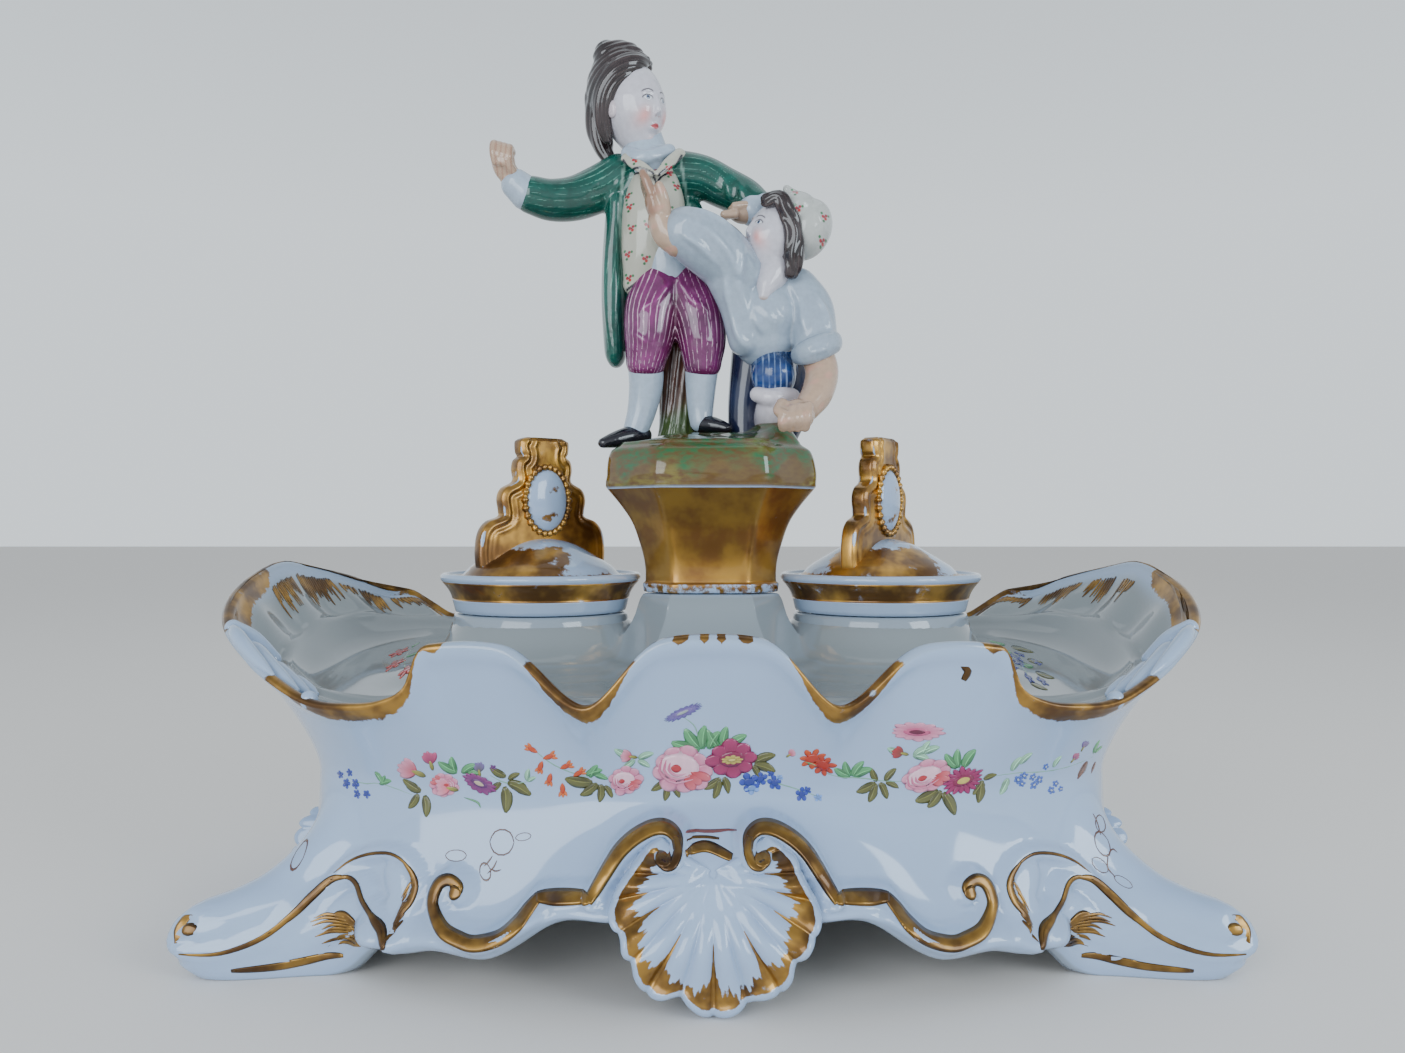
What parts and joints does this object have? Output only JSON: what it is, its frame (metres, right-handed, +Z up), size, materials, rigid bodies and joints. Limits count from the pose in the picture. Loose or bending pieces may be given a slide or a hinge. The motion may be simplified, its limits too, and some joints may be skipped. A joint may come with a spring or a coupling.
{
  "type": "figural porcelain inkstand",
  "caption": "Footed rococo porcelain inkstand with lidded ink wells, a scalloped pen tray at each end and a figure group of children on a gilt plinth.",
  "frame": {"origin": "on the surface that the feet stand on, under the middle of the inkstand", "axes": "+Z up, +X to the viewer's right along the length, -Y out of the front, which has the painted flower garland and the higher middle of the rim"},
  "size_m": [0.2866, 0.174, 0.2675],
  "materials": {
    "stand_porcelain": "glazed white porcelain with worn gilding and painted flowers",
    "figure_porcelain": "glazed porcelain painted in enamels on a gilt plinth",
    "lid_left_porcelain": "glazed white porcelain with worn gilding",
    "lid_right_porcelain": "glazed white porcelain with worn gilding"
  },
  "bodies": {
    "root": {"stand": "stand_porcelain", "deck_and_trays": "stand_porcelain", "inkwell_left": "stand_porcelain", "inkwell_right": "stand_porcelain", "figure_group_on_plinth": "figure_porcelain", "inkwell_lid_left": "lid_left_porcelain", "inkwell_lid_right": "lid_right_porcelain"}
  },
  "joints": []
}
